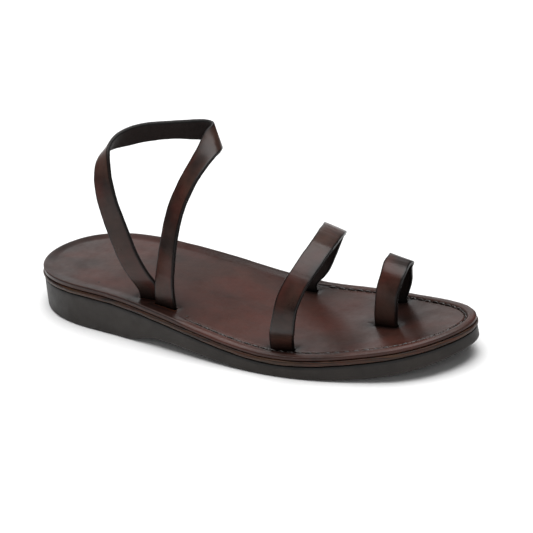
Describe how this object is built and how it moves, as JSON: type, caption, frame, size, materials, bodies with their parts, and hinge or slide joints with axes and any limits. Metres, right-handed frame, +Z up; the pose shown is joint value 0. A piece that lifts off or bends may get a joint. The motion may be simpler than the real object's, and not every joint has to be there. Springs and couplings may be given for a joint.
{
  "type": "toe ring sandal",
  "caption": "Right-foot leather sandal with a toe loop, a slanting instep strap and an ankle loop on a low rubber sole with a heel and arch.",
  "frame": {"origin": "on the floor, in the middle of the flat underside of the heel", "axes": "+X from heel to toe, +Y towards the inner side of the foot (the big toe's side), +Z up"},
  "size_m": [0.25, 0.0835, 0.1021],
  "materials": {
    "sole_rubber": "satin",
    "midsole_leather": "satin",
    "footbed_leather": "semi-gloss",
    "strap_leather": "semi-gloss"
  },
  "bodies": {
    "root": {"outsole": "sole_rubber", "midsole": "midsole_leather", "insole": "footbed_leather", "ankle_strap": "strap_leather", "instep_strap": "strap_leather", "toe_ring": "strap_leather"}
  },
  "joints": []
}
